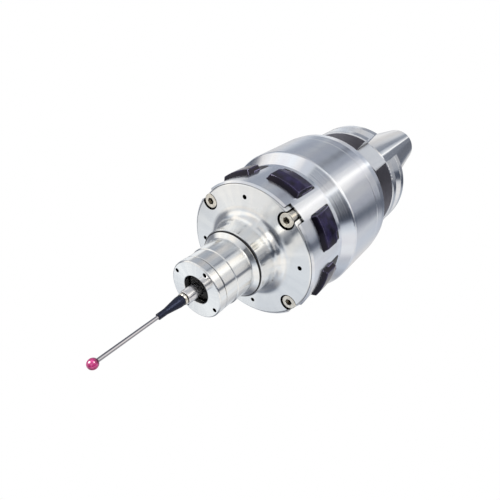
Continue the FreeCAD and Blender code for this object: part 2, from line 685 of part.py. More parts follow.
def nose_sleeve():
    """Sleeve screwed into the neck. It clamps the seat ring."""
    spigot_radius = NECK_BORE - SEAT_CLEARANCE
    spigot_end = SEAT_RING_FACE - SEAT_RING_THICK
    return turned([
        (SLEEVE_BORE, spigot_end),
        (spigot_radius, spigot_end),
        (spigot_radius, SLEEVE_SHOULDER),
        (SLEEVE_FLARE_RADIUS, SLEEVE_SHOULDER, BROKEN_EDGE / 2),
        (SLEEVE_RADIUS, SLEEVE_FLARE_Z, SLEEVE_FLARE_ROUNDING),
        (SLEEVE_RADIUS, SLEEVE_STEP_Z, BROKEN_EDGE / 2),
        (SLEEVE_FRONT_RADIUS, SLEEVE_STEP_Z - BROKEN_EDGE),
        (SLEEVE_FRONT_RADIUS, CAP_LINE_Z + BROKEN_EDGE),
        (SLEEVE_FRONT_RADIUS - BROKEN_EDGE, CAP_LINE_Z),
        (SLEEVE_BORE, CAP_LINE_Z),
    ])


def cap_bore():
    """Bore of the cap above its lip, where the membrane sits."""
    return SLEEVE_BORE - CAP_THREAD_WALL


def nose_cap():
    """Cap with the stylus opening, four pin-spanner holes and a groove where it meets the sleeve."""
    thread_end = CAP_LINE_Z + CAP_THREAD_LENGTH
    thread_radius = SLEEVE_BORE - SEAT_CLEARANCE
    groove_floor = CAP_RADIUS - CAP_GROOVE_DEPTH
    groove_front = CAP_LINE_Z - CAP_GROOVE_WIDTH
    cap = turned([
        (cap_bore(), thread_end),
        (thread_radius, thread_end),
        (thread_radius, CAP_LINE_Z),
        (groove_floor, CAP_LINE_Z),
        (groove_floor, groove_front),
        (CAP_RADIUS, groove_front),
        (CAP_RADIUS, CAP_FACE, CAP_ROUNDING),
        (NOSE_OPENING, CAP_FACE, BROKEN_EDGE),
        (NOSE_OPENING, CAP_FACE + CAP_LIP, BROKEN_EDGE),
        (cap_bore(), CAP_FACE + CAP_LIP),
    ])
    hole = rod(CAP_HOLE_RADIUS, CAP_FACE - OVERCUT, CAP_FACE + CAP_HOLE_DEPTH, CAP_HOLE_CIRCLE)
    return cap.cut(Part.makeCompound(ring_of(hole, QUARTERS, CAP_TURN)))


def stylus_seal():
    """Rubber membrane with one fold, between the cap and the stylus holder."""
    outer = cap_bore() - SEAT_CLEARANCE
    foot = CAP_FACE + CAP_LIP
    fold_top = foot + SEAL_FOLD_HEIGHT
    web = foot + SEAL_WEB_HEIGHT
    collar = HOLDER_RADIUS + SEAT_CLEARANCE
    collar_top = web + SEAL_COLLAR_HEIGHT
    return turned([
        (outer, foot),
        (outer, fold_top, SEAL_THICK),
        (SEAL_FOLD_RADIUS, fold_top, SEAL_THICK),
        (SEAL_FOLD_RADIUS - SEAL_THICK, web, SEAL_THICK / 2),
        (collar + SEAL_THICK, web, SEAL_THICK / 2),
        (collar + SEAL_THICK, collar_top),
        (collar, collar_top),
        (collar, web - SEAL_THICK),
        (SEAL_FOLD_RADIUS, web - SEAL_THICK, SEAL_THICK),
        (SEAL_FOLD_RADIUS + SEAL_THICK, fold_top - SEAL_THICK, SEAL_THICK / 2),
        (outer - SEAL_THICK, fold_top - SEAL_THICK, SEAL_THICK / 2),
        (outer - SEAL_THICK, foot),
    ])


# Seat and stylus plate

def seat_ball_z():
    """Height of the fixed balls, with the gap that lets the plate tilt about its centre."""
    reach = SEAT_BALL_RADIUS + SEAT_ROLLER_RADIUS
    return PLATE_UNDER - math.sqrt(reach ** 2 - SEAT_BALL_OFFSET ** 2) - SEAT_GAP


def ball_pair():
    """Two hard balls that one roller lies across."""
    places = [FreeCAD.Vector(SEAT_CIRCLE, side * SEAT_BALL_OFFSET, seat_ball_z()) for side in (-1, 1)]
    return Part.makeCompound([Part.makeSphere(SEAT_BALL_RADIUS, place) for place in places])


def seat_balls():
    """Three pairs of balls under the three arms."""
    pairs = ring_of(ball_pair(), ARM_COUNT, FIRST_ARM)
    return Part.makeCompound([ball for pair in pairs for ball in pair.Solids])


def seat_ring():
    """Insulating ring that carries the six balls."""
    ring = turned([
        (SEAT_RING_BORE, SEAT_RING_FACE),
        (SEAT_RING_BORE, SEAT_RING_FACE - SEAT_RING_THICK),
        (NECK_BORE - SEAT_CLEARANCE, SEAT_RING_FACE - SEAT_RING_THICK),
        (NECK_BORE - SEAT_CLEARANCE, SEAT_RING_FACE),
    ])
    return ring.cut(seat_balls())


def seat_rollers():
    """One roller along each arm, half sunk in its underside."""
    start = FreeCAD.Vector(SEAT_CIRCLE - SEAT_ROLLER_LENGTH / 2, 0, PLATE_UNDER)
    roller = Part.makeCylinder(SEAT_ROLLER_RADIUS, SEAT_ROLLER_LENGTH, start, OUT)
    return Part.makeCompound(ring_of(roller, ARM_COUNT, FIRST_ARM))


def stylus_plate():
    """Three-armed plate with a hub. The thrust ball rests in a cup in its top."""
    centre_radius = PLATE_HUB_RADIUS + 1.0
    plate = turned([
        (0, PLATE_TOP),
        (centre_radius, PLATE_TOP, BROKEN_EDGE),
        (centre_radius, PLATE_UNDER),
        (PLATE_HUB_RADIUS, PLATE_UNDER),
        (PLATE_HUB_RADIUS, PLATE_HUB_END, BROKEN_EDGE),
        (0, PLATE_HUB_END),
    ])
    arm = block((0, PLATE_RADIUS), (-ARM_WIDTH / 2, ARM_WIDTH / 2), (PLATE_UNDER, PLATE_TOP))
    arm = arm.common(rod(PLATE_RADIUS, PLATE_UNDER, PLATE_TOP))
    for shape in ring_of(arm, ARM_COUNT, FIRST_ARM):
        plate = plate.fuse(shape)
    cup_radius = THRUST_BALL_RADIUS + SEAT_CLEARANCE
    cup = Part.makeSphere(cup_radius, FreeCAD.Vector(0, 0, PIVOT_Z))
    mouth = rod(cup_radius, PIVOT_Z, PLATE_TOP + OVERCUT)
    thread = rod(HOLDER_STUD_RADIUS + SEAT_CLEARANCE, PLATE_HUB_END - OVERCUT, HOLDER_STUD_TOP)
    return plate.removeSplitter().cut(Part.makeCompound([seat_rollers(), cup.fuse(mouth), thread]))


def thrust_ball():
    """Ball on which the plate tilts. The follower presses on it."""
    return Part.makeSphere(THRUST_BALL_RADIUS, FreeCAD.Vector(0, 0, PIVOT_Z))


def spring_follower():
    """Guided pin that presses the thrust ball down."""
    tip = PIVOT_Z + THRUST_BALL_RADIUS
    top = FOLLOWER_FLANGE_Z + FOLLOWER_FLANGE_THICK
    return turned([
        (0, tip),
        (FOLLOWER_PIN_RADIUS, tip, BROKEN_EDGE),
        (FOLLOWER_PIN_RADIUS, FOLLOWER_FLANGE_Z, BROKEN_EDGE),
        (FOLLOWER_FLANGE_RADIUS, FOLLOWER_FLANGE_Z, BROKEN_EDGE),
        (FOLLOWER_FLANGE_RADIUS, top, BROKEN_EDGE),
        (FOLLOWER_STEM_RADIUS, top, BROKEN_EDGE),
        (FOLLOWER_STEM_RADIUS, FOLLOWER_STEM_TOP, BROKEN_EDGE),
        (0, FOLLOWER_STEM_TOP),
    ])


def preload_spring():
    """Compression spring between the follower's flange and the plug."""
    bottom = FOLLOWER_FLANGE_Z + FOLLOWER_FLANGE_THICK + SPRING_WIRE_RADIUS
    height = SPRING_TOP - SPRING_WIRE_RADIUS - bottom
    helix = Part.makeHelix(height / SPRING_TURNS, height, SPRING_COIL_RADIUS)
    circle = Part.Wire(Part.makeCircle(SPRING_WIRE_RADIUS, FreeCAD.Vector(SPRING_COIL_RADIUS, 0, 0),
                                       FreeCAD.Vector(0, 1, 0)))
    spring = Part.Wire(helix).makePipeShell([circle], True, True)
    spring.translate(FreeCAD.Vector(0, 0, bottom))
    return spring


def spring_plug():
    """Screw plug that sets the preload and guides the follower."""
    guide = FOLLOWER_STEM_RADIUS + RUNNING_CLEARANCE
    outer = CHAMBER_RADIUS - SEAT_CLEARANCE
    back = SPRING_TOP + PLUG_THICK
    plug = turned([(guide, SPRING_TOP), (outer, SPRING_TOP), (outer, back), (guide, back)])
    hole = rod(PLUG_HOLE_RADIUS, back - PLUG_THICK / 2, back + OVERCUT, PLUG_HOLE_CIRCLE)
    return plug.cut(Part.makeCompound(ring_of(hole, 2)))


def signal_board():
    """Small ring-shaped board behind the neck that reads the seat contacts."""
    inner = CHAMBER_RADIUS - SIGNAL_BOARD_OVERHANG
    top = BOSS_END + BOARD_THICK
    return turned([(inner, BOSS_END), (BOSS_RADIUS, BOSS_END), (BOSS_RADIUS, top), (inner, top)])


# Stylus

def stylus_holder():
    """Rod from the plate out through the nose, with spanner flats."""
    holder = turned([
        (0, HOLDER_STUD_TOP),
        (HOLDER_STUD_RADIUS, HOLDER_STUD_TOP, BROKEN_EDGE),
        (HOLDER_STUD_RADIUS, PLATE_HUB_END),
        (HOLDER_RADIUS, PLATE_HUB_END, BROKEN_EDGE),
        (HOLDER_RADIUS, HOLDER_END, BROKEN_EDGE),
        (0, HOLDER_END),
    ])
    flat = block((HOLDER_ACROSS / 2, HOLDER_RADIUS + OVERCUT), (-HOLDER_RADIUS, HOLDER_RADIUS),
                 (HOLDER_FLAT_END, HOLDER_FLAT_TOP))
    thread = rod(BREAK_THREAD_RADIUS + SEAT_CLEARANCE, HOLDER_END - OVERCUT,
                 HOLDER_END + BREAK_THREAD_LENGTH + BROKEN_EDGE)
    return holder.cut(Part.makeCompound(ring_of(flat, 2, HOLDER_TURN) + [thread]))


def breakaway_adapter():
    """Threaded pin with a ring and a thin neck that snaps before the seat is hurt."""
    ring_top = STYLUS_BACK + BREAK_RING_THICK
    thread_top = HOLDER_END + BREAK_THREAD_LENGTH
    return turned([
        (0, STYLUS_BACK),
        (BREAK_RING_RADIUS, STYLUS_BACK, BROKEN_EDGE),
        (BREAK_RING_RADIUS, ring_top, BROKEN_EDGE),
        (BREAK_NECK_RADIUS, ring_top),
        (BREAK_NECK_RADIUS, HOLDER_END),
        (BREAK_THREAD_RADIUS, HOLDER_END),
        (BREAK_THREAD_RADIUS, thread_top),
        (0, thread_top),
    ])


def stylus_base():
    """Dark tapered base, with a slim parallel stretch at its front."""
    front = STYLUS_BACK - BASE_LENGTH
    waist = front + BASE_FRONT_LENGTH
    base = turned([
        (0, STYLUS_BACK),
        (BASE_BACK_RADIUS, STYLUS_BACK, BROKEN_EDGE),
        (BASE_BACK_RADIUS, STYLUS_BACK - BASE_BACK_LENGTH, BASE_BACK_LENGTH),
        (BASE_FRONT_RADIUS, waist, BASE_FRONT_LENGTH),
        (BASE_FRONT_RADIUS, front, BROKEN_EDGE / 2),
        (0, front),
    ])
    return base.cut(rod(STEM_RADIUS, front - OVERCUT, front + STEM_SOCKET))


def stylus_stem():
    """Straight stem, pressed into the base and cupped round the ball."""
    tip = STYLUS_BACK - STYLUS_LENGTH
    stem = rod(STEM_RADIUS, tip + TIP_RADIUS - TIP_SOCKET_DEPTH, STYLUS_BACK - BASE_LENGTH + STEM_SOCKET)
    return stem.cut(Part.makeSphere(TIP_RADIUS, FreeCAD.Vector(0, 0, tip)))


def ruby_ball():
    """Synthetic ruby ball that touches the workpiece."""
    return Part.makeSphere(TIP_RADIUS, FreeCAD.Vector(0, 0, STYLUS_BACK - STYLUS_LENGTH))


# Electronics and cells

def main_board():
    """Round board screwed to the inner flange of the body."""
    top = INNER_FLANGE_Z + BOARD_THICK
    board = rod(MAIN_BOARD_RADIUS, INNER_FLANGE_Z, top)
    return board.cut(rod(WIRE_HOLE_RADIUS, INNER_FLANGE_Z - OVERCUT, top + OVERCUT))


def board_parts():
    """The larger components, under the main board: two chips, a coil and a capacitor."""
    under = INNER_FLANGE_Z
    chips = [block((x - CHIP_SIZE / 2, x + CHIP_SIZE / 2), (y - CHIP_SIZE / 2, y + CHIP_SIZE / 2),
                   (under - CHIP_HEIGHT, under)) for x, y in CHIP_PLACES]
    coil = rod(COIL_RADIUS, under - COIL_HEIGHT, under, *COIL_PLACE)
    capacitor = rod(CAPACITOR_RADIUS, under - CAPACITOR_HEIGHT, under, *CAPACITOR_PLACE)
    return Part.makeCompound(chips + [coil, capacitor])


def cell_bottom():
    """Floor of the cell pockets."""
    return INNER_FLANGE_Z + BOARD_THICK + CAGE_FLOOR


def cell_pair(radius, bottom, top):
    """The same upright cylinder at both cell places."""
    return [rod(radius, bottom, top, side * CELL_OFFSET) for side in (-1, 1)]


def cell_cage():
    """Moulded cage with two round pockets for the cells."""
    floor = INNER_FLANGE_Z + BOARD_THICK
    rim = cell_bottom() + CELL_LENGTH * CAGE_REACH
    pocket_radius = CELL_RADIUS + CAGE_CLEARANCE
    cage = rod(MAIN_BOARD_RADIUS - 1.0, floor, cell_bottom())
    for wall in cell_pair(pocket_radius + CAGE_WALL, floor, rim):
        cage = cage.fuse(wall)
    pockets = cell_pair(pocket_radius, cell_bottom(), rim + OVERCUT)
    return cage.removeSplitter().cut(Part.makeCompound(pockets))


def cells():
    """Two half-size lithium cells side by side."""
    top = cell_bottom() + CELL_LENGTH
    cans = cell_pair(CELL_RADIUS, cell_bottom(), top - CELL_BUTTON_HEIGHT)
    buttons = cell_pair(CELL_BUTTON_RADIUS, top - CELL_BUTTON_HEIGHT, top)
    return Part.makeCompound([can.fuse(button) for can, button in zip(cans, buttons)])


def cell_contact():
    """Bridge strip between the two cells and the rear cover."""
    top = cell_bottom() + CELL_LENGTH
    under_cover = REAR_FACE - REAR_PLATE
    half = CELL_BUTTON_RADIUS
    strip = block((-CELL_OFFSET, CELL_OFFSET), (-half, half), (top, top + CONTACT_THICK))
    for end in cell_pair(half, top, top + CONTACT_THICK):
        strip = strip.fuse(end)
    foam = block((-half, half), (-half, half), (top + CONTACT_THICK, under_cover))
    return strip.fuse(foam).removeSplitter()


NODES = {
    "taper_shank": taper_shank,
    "clamp_screws": clamp_screws,
    "rear_cover": rear_cover,
    "rear_seal": rear_seal,
    "body_shell": body_shell,
    "window_ring": window_ring,
    "ir_windows": ir_windows,
    "led_carrier": led_carrier,
    "led_band": led_band,
    "ir_leds": ir_leds,
    "front_cover": front_cover,
    "cover_screws": cover_screws,
    "neck_seal": neck_seal,
    "nose_sleeve": nose_sleeve,
    "nose_cap": nose_cap,
    "stylus_seal": stylus_seal,
    "seat_ring": seat_ring,
    "seat_balls": seat_balls,
    "seat_rollers": seat_rollers,
    "stylus_plate": stylus_plate,
    "thrust_ball": thrust_ball,
    "spring_follower": spring_follower,
    "preload_spring": preload_spring,
    "spring_plug": spring_plug,
    "signal_board": signal_board,
    "stylus_holder": stylus_holder,
    "breakaway_adapter": breakaway_adapter,
    "stylus_base": stylus_base,
    "stylus_stem": stylus_stem,
    "ruby_ball": ruby_ball,
    "main_board": main_board,
    "board_parts": board_parts,
    "cell_cage": cell_cage,
    "cells": cells,
    "cell_contact": cell_contact,
}

os.makedirs("parts", exist_ok=True)
for name, make in NODES.items():
    shape = make()
    print(name, "solids", len(shape.Solids), "valid", shape.isValid(), "volume", round(shape.Volume, 1))
    shape.exportStep("parts/" + name + ".step")
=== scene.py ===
# Touch probe on a steep-taper shank: its finishes, the camera and the studio round it.
# Units are metres. The frame is the model's: origin in the taper's gauge plane, +Z up the taper.
import bmesh
import bpy
import json
import math
from mathutils import Matrix, Vector


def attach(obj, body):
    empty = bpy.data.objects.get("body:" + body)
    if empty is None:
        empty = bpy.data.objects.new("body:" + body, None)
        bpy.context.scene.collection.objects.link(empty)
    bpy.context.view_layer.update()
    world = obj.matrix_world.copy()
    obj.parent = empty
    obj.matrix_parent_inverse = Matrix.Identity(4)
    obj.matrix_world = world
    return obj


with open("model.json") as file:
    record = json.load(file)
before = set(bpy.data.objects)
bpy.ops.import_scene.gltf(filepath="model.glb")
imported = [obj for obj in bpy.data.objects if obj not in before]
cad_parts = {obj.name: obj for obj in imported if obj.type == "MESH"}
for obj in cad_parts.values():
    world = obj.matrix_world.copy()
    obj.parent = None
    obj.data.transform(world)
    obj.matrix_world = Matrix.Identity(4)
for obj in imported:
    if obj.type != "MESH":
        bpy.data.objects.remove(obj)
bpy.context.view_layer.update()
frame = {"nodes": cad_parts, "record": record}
nodes = frame["nodes"]
MM = 0.001


# Colours and material nodes

COLOURS = {"data_type": "RGBA"}
SOFT = {"interpolation_type": "SMOOTHSTEP"}
# Most of a noise lies within SPREAD. CONTRAST is narrower and parts its light and dark places more.
SPREAD = {"From_Min": 0.3, "From_Max": 0.7}
CONTRAST = {"From_Min": 0.35, "From_Max": 0.65}
OPENNESS_SAMPLES = 8
# Painted shade starts and is full at these shares of a surface's openness, which is 1 in the open.
PAINTED_SHADE_STARTS = 0.8
PAINTED_SHADE_FULL = 0.4


def linear(hex_colour):
    """sRGB hex to the linear RGBA that the shader wants."""
    channels = [int(hex_colour[i:i + 2], 16) / 255 for i in (1, 3, 5)]
    return [c / 12.92 if c <= 0.04045 else ((c + 0.055) / 1.055) ** 2.4 for c in channels] + [1.0]


def add(tree, kind, settings=None, **inputs):
    """Adds a node with its settings and fills its sockets with values, nodes or other sockets.

    A socket is given by its name, or as n0, n1 and so on by its place.
    """
    made = tree.nodes.new(kind)
    for name, value in (settings or {}).items():
        setattr(made, name, value)
    for name, value in inputs.items():
        if name[1:].isdigit():
            socket = made.inputs[int(name[1:])]
        else:
            title = name.replace("_", " ")
            socket = next(socket for socket in made.inputs if socket.enabled and socket.name == title)
        if isinstance(value, bpy.types.Node):
            value = next(output for output in value.outputs if output.enabled)
        if isinstance(value, bpy.types.NodeSocket):
            tree.links.new(value, socket)
        else:
            socket.default_value = value
    return made


def new_material(name):
    """Empty node material and its tree."""
    material = bpy.data.materials.new(name)
    material.use_nodes = True
    material.node_tree.nodes.clear()
    return material, material.node_tree


def with_painted_shade(tree, colour, painted_shade, reach):
    """Colour that goes over to a dark one in holes, slots and seams: painted shade where less light gets in.
    """
    openness = add(tree, "ShaderNodeAmbientOcclusion", {"samples": OPENNESS_SAMPLES}, Distance=reach)
    hidden = add(tree, "ShaderNodeMapRange", SOFT, Value=openness.outputs["AO"],
                 From_Min=PAINTED_SHADE_STARTS, From_Max=PAINTED_SHADE_FULL)
    return add(tree, "ShaderNodeMix", COLOURS, Factor=hidden, A=colour, B=linear(painted_shade))


def patterned(name, pitch, pale, deep, gloss, relief, painted_shade=None, shade_reach=1.2 * MM, **shader):
    """Material whose colour, roughness and relief all follow one fine noise, with its pitch in metres."""
    material, tree = new_material(name)
    where = add(tree, "ShaderNodeTexCoord")
    grain = add(tree, "ShaderNodeTexNoise", Vector=where.outputs["Object"], Scale=1 / pitch, Detail=3.0)
    spread = add(tree, "ShaderNodeMapRange", Value=grain, **SPREAD)
    colour = add(tree, "ShaderNodeMix", COLOURS, Factor=spread, A=linear(pale), B=linear(deep))
    # Painted shade in hollows, when a shade colour is given.
    if painted_shade:
        colour = with_painted_shade(tree, colour, painted_shade, shade_reach)
    roughness = add(tree, "ShaderNodeMapRange", Value=spread, To_Min=gloss[0], To_Max=gloss[1])
    bump = add(tree, "ShaderNodeBump", Strength=0.4, Distance=relief, Height=grain)
    finish = add(tree, "ShaderNodeBsdfPrincipled", Base_Color=colour, Roughness=roughness, Normal=bump,
                 **shader)
    add(tree, "ShaderNodeOutputMaterial", Surface=finish)
    return material


# Shallow waves in turned steel: their length, how much slower they change along the bar, and the radius of
# the circle on which they are read, so that a bar of any width has as many of them round it.
WAVE_LENGTH = 3.5 * MM
WAVE_SLOWNESS = 0.12
WAVE_CIRCLE = 20 * MM


def lathe_marks(tree, pitch, relief, wander):
    """Height, radius, rings, waves, relief and tangent of a turned surface.

    The rings are a tool's, the waves run along the bar and out over its ends, the tangent is the way round.
    """
    where = add(tree, "ShaderNodeTexCoord").outputs["Object"]
    split = add(tree, "ShaderNodeSeparateXYZ", Vector=where)
    flat = add(tree, "ShaderNodeCombineXYZ", X=split.outputs[0], Y=split.outputs[1])
    radius = add(tree, "ShaderNodeVectorMath", {"operation": "LENGTH"}, n0=flat)
    across_rings = add(tree, "ShaderNodeCombineXYZ", X=radius, Y=split.outputs[2])
    rings = add(tree, "ShaderNodeTexNoise", Vector=across_rings, Scale=1 / pitch, Detail=4.0, Roughness=0.65)
    outward = add(tree, "ShaderNodeVectorMath", {"operation": "NORMALIZE"}, n0=flat)
    run = add(tree, "ShaderNodeMath", {"operation": "ADD"}, n0=radius.outputs["Value"], n1=split.outputs[2])
    slow_run = add(tree, "ShaderNodeMath", {"operation": "MULTIPLY"}, n0=run, n1=WAVE_SLOWNESS)
    slow = add(tree, "ShaderNodeCombineXYZ", Z=slow_run)
    spokes = add(tree, "ShaderNodeVectorMath", {"operation": "MULTIPLY_ADD"},
                 n0=outward, n1=(WAVE_CIRCLE,) * 3, n2=slow)
    waves = add(tree, "ShaderNodeTexNoise", Vector=spokes, Scale=1 / WAVE_LENGTH, Detail=3.0, Roughness=0.55)
    wavy = add(tree, "ShaderNodeBump", Strength=1.0, Distance=wander, Height=waves)
    grooved = add(tree, "ShaderNodeBump", Strength=0.35, Distance=relief, Height=rings, Normal=wavy)
    round_axis = add(tree, "ShaderNodeVectorMath", {"operation": "CROSS_PRODUCT"},
                     n0=(0.0, 0.0, 1.0), n1=flat)
    tangent = add(tree, "ShaderNodeVectorMath", {"operation": "NORMALIZE"}, n0=round_axis)
    return split.outputs[2], radius, rings, waves, grooved, tangent


# Reflections are drawn out across the rings, a quarter of a turn from the tangent.
QUARTER_TURN = 0.25
# Heat-treatment scale and painted shade cover what is below this height and within this radius; there the
# steel is rougher by this much.
SCALE_AND_SHADE_TOP = -18.95 * MM
SCALE_AND_SHADE_RADIUS = 31.0 * MM
SCALE_ROUGHER = 0.3


# Real rings are 0.05 to 0.2 mm apart. Every pitch given to turned_steel is drawn coarser, so that they show.
def turned_steel(name, pitch, pale, deep, gloss, relief, wander, anisotropy,
                 shade_reach=3.0 * MM, scale_and_shade_zone=None):
    """Bright steel off a lathe or grinder: fine rings draw every reflection out along the axis."""
    material, tree = new_material(name)
    height, radius, rings, waves, normal, tangent = lathe_marks(tree, pitch, relief, wander)
    spread = add(tree, "ShaderNodeMapRange", Value=waves, **CONTRAST)
    colour = add(tree, "ShaderNodeMix", COLOURS, Factor=spread, A=linear(pale), B=linear(deep))
    roughness = add(tree, "ShaderNodeMapRange", Value=rings, To_Min=gloss[0], To_Max=gloss[1], **SPREAD)
    # Painted shade and heat-treatment scale darken the recess behind the body; the scale also makes it
    # rougher.
    if scale_and_shade_zone:
        highest, widest, scale = scale_and_shade_zone
        below = add(tree, "ShaderNodeMath", {"operation": "LESS_THAN"}, n0=height, n1=highest)
        inside = add(tree, "ShaderNodeMath", {"operation": "LESS_THAN"}, n0=radius, n1=widest)
        scale_and_shade_mask = add(tree, "ShaderNodeMath", {"operation": "MULTIPLY"}, n0=below, n1=inside)
        colour = add(tree, "ShaderNodeMix", COLOURS, Factor=scale_and_shade_mask, A=colour, B=linear(scale))
        roughness = add(tree, "ShaderNodeMath", {"operation": "MULTIPLY_ADD"},
                        n0=scale_and_shade_mask, n1=SCALE_ROUGHER, n2=roughness)
    # Painted shade: the colour darkens in holes, slots and seams.
    finish = add(tree, "ShaderNodeBsdfPrincipled", Base_Color=with_painted_shade(tree, colour, "#1d160e", shade_reach),
                 Metallic=1.0, Roughness=roughness, Anisotropic=anisotropy,
                 Anisotropic_Rotation=QUARTER_TURN, Tangent=tangent, Normal=normal)
    add(tree, "ShaderNodeOutputMaterial", Surface=finish)
    return material


def housing_steel():
    # Stainless bar, fine turned: pale and satin with a cool cast.
    return turned_steel("fine_turned_stainless", 0.5 * MM, "#eef2f8", "#e6e9f2", (0.12, 0.23),
                        0.012 * MM, 0.02 * MM, 0.75)


def nose_steel():
    # The same bar on the nose, handled and wiped: a little whiter, with more polish and longer streaks.
    return turned_steel("handled_turned_stainless", 0.4 * MM, "#f6f7f7", "#eceef0", (0.12, 0.2),
                        0.008 * MM, 0.015 * MM, 0.92)


def ground_steel():
    # Hardened steel, cylindrically ground: sharp reflections. The hub and the flange's front face, in the
    # recess behind
    # the body, are painted dark: partly heat-treatment scale, partly painted shade.
    return turned_steel("ground_hardened_steel", 0.35 * MM, "#e4e6ea", "#d8dbe2", (0.07, 0.17),
                        0.006 * MM, 0.012 * MM, 0.6, scale_and_shade_zone=(SCALE_AND_SHADE_TOP, SCALE_AND_SHADE_RADIUS, "#96949a"))


def holder_steel():
    # Drawn and turned stainless rod with spanner flats, satin.
    return turned_steel("satin_turned_rod", 0.3 * MM, "#f4f3f5", "#e6e5e9", (0.16, 0.26),
                        0.008 * MM, 0.02 * MM, 0.8, shade_reach=0.4 * MM)


def stem_carbide():
    # Ground tungsten carbide: darker and bluer than steel, bright along its length.
    return turned_steel("ground_carbide", 0.25 * MM, "#b6b4b9", "#a6a4aa", (0.06, 0.12),
                        0.002 * MM, 0.004 * MM, 0.5)


def brass():
    # Turned free-cutting brass, lightly dulled.
    return turned_steel("turned_brass", 0.4 * MM, "#d9b970", "#c7a35a", (0.21, 0.32),
                        0.01 * MM, 0.02 * MM, 0.4)


def screw_steel():
    # Rolled and tumbled stainless fasteners: small dents, a warm cast and painted shade in the sockets.
    return patterned("tumbled_stainless", 0.9 * MM, "#f4efe4", "#dcd6ca", (0.16, 0.32), 0.02 * MM,
                     painted_shade="#1c120c", shade_reach=2.0 * MM, Metallic=1.0)


def black_steel():
    # Steel with a black oxide bath: nearly black with a blue cast and a faint gloss.
    return patterned("black_oxide_steel", 0.3 * MM, "#0f1018", "#191b27", (0.3, 0.45), 0.01 * MM,
                     IOR=1.5, Specular_IOR_Level=0.3, Specular_Tint=linear("#b8c4f0"))


def hard_steel():
    # Lapped bearing steel: almost a mirror, with the faintest haze.
    return patterned("lapped_bearing_steel", 0.4 * MM, "#d2d3d6", "#c2c4c9", (0.05, 0.1), 0.001 * MM,
                     Metallic=1.0)


def spring_steel():
    # Drawn music wire: grey, with drawing marks too fine to part, shown as a soft mottle.
    return patterned("drawn_spring_wire", 0.25 * MM, "#a8a9ae", "#8b8c92", (0.25, 0.4), 0.004 * MM,
                     Metallic=1.0)


def machined_aluminium():
    # Milled aluminium: white metal with a soft cutter mottle.
    return patterned("milled_aluminium", 0.6 * MM, "#e6e7ea", "#d6d8dd", (0.28, 0.42), 0.01 * MM,
                     Metallic=1.0)


def rubber():
    # Moulded nitrile: black and matte with a fine mould grain.
    return patterned("moulded_nitrile", 0.5 * MM, "#141414", "#1f1f20", (0.55, 0.75), 0.03 * MM, IOR=1.5)


# The windows' crest takes on its colour between these radii.
CREST_FOOT = 33.9 * MM
CREST_TOP = 34.9 * MM
# The painted highlight on the rounded edges reaches this far. It starts and is full at these shares of
# openness inside the piece.
EDGE_HIGHLIGHT_REACH = 0.5 * MM
EDGE_HIGHLIGHT_STARTS = 0.93
EDGE_HIGHLIGHT_FULL = 0.7


def window_plastic():
    """Polished polycarbonate with an infrared dye: black walls, soft violet clouds under the crest."""
    material, tree = new_material("infrared_polycarbonate")
    where = add(tree, "ShaderNodeTexCoord").outputs["Object"]
    across = add(tree, "ShaderNodeVectorMath", {"operation": "MULTIPLY"}, n0=where, n1=(1.0, 1.0, 0.0))
    radius = add(tree, "ShaderNodeVectorMath", {"operation": "LENGTH"}, n0=across).outputs["Value"]
    crest = add(tree, "ShaderNodeMapRange", SOFT, Value=radius, From_Min=CREST_FOOT, From_Max=CREST_TOP)
    mist = add(tree, "ShaderNodeTexNoise", Vector=where, Scale=1 / (4.0 * MM), Detail=2.0)
    clouds = add(tree, "ShaderNodeMapRange", Value=mist, **SPREAD)
    glow = add(tree, "ShaderNodeMath", {"operation": "MULTIPLY"}, n0=crest, n1=clouds)
    clouded = add(tree, "ShaderNodeMix", COLOURS, Factor=glow, A=linear("#0b090f"), B=linear("#1f1a36"))
    # Painted highlight: the rounded edges are paler, where glints would run along them.
    edges = add(tree, "ShaderNodeAmbientOcclusion", {"samples": OPENNESS_SAMPLES, "inside": True},
                Distance=EDGE_HIGHLIGHT_REACH)
    painted_edge_highlight = add(tree, "ShaderNodeMapRange", SOFT, Value=edges.outputs["AO"],
               From_Min=EDGE_HIGHLIGHT_STARTS, From_Max=EDGE_HIGHLIGHT_FULL)
    colour = add(tree, "ShaderNodeMix", COLOURS, Factor=painted_edge_highlight, A=clouded, B=linear("#5c5870"))
    wear = add(tree, "ShaderNodeMapRange", Value=mist, To_Min=0.05, To_Max=0.14)
    sink = add(tree, "ShaderNodeBump", Strength=0.4, Distance=0.08 * MM, Height=mist)
    finish = add(tree, "ShaderNodeBsdfPrincipled", Base_Color=colour, Roughness=wear, IOR=1.5, Normal=sink,
                 Specular_IOR_Level=0.3, Specular_Tint=linear("#d8d2f0"))
    add(tree, "ShaderNodeOutputMaterial", Surface=finish)
    return material


def led_lens():
    # Tinted epoxy of an infrared diode.
    return patterned("tinted_epoxy", 1.0 * MM, "#3a3050", "#52466c", (0.06, 0.12), 0.002 * MM, IOR=1.54)


def moulded_plastic():
    # Glass-filled nylon, moulded: dark grey with a fine sparkle of fibre ends.
    return patterned("glass_filled_nylon", 0.35 * MM, "#28282b", "#35353a", (0.42, 0.6), 0.02 * MM, IOR=1.52)


def cell_can():
    # Nickel-plated cell can under a grey shrink sleeve.
    return patterned("sleeved_cell_can", 6 * MM, "#9a9ca2", "#b2b4ba", (0.25, 0.35), 0.01 * MM, IOR=1.5)


# The ruby's colour darkens between these heights, from the ball's middle up to where the stem goes in:
# painted shade for the stem's end seen through the ball.
RUBY_CLEAR = -192.4 * MM
RUBY_DARK = -190.7 * MM


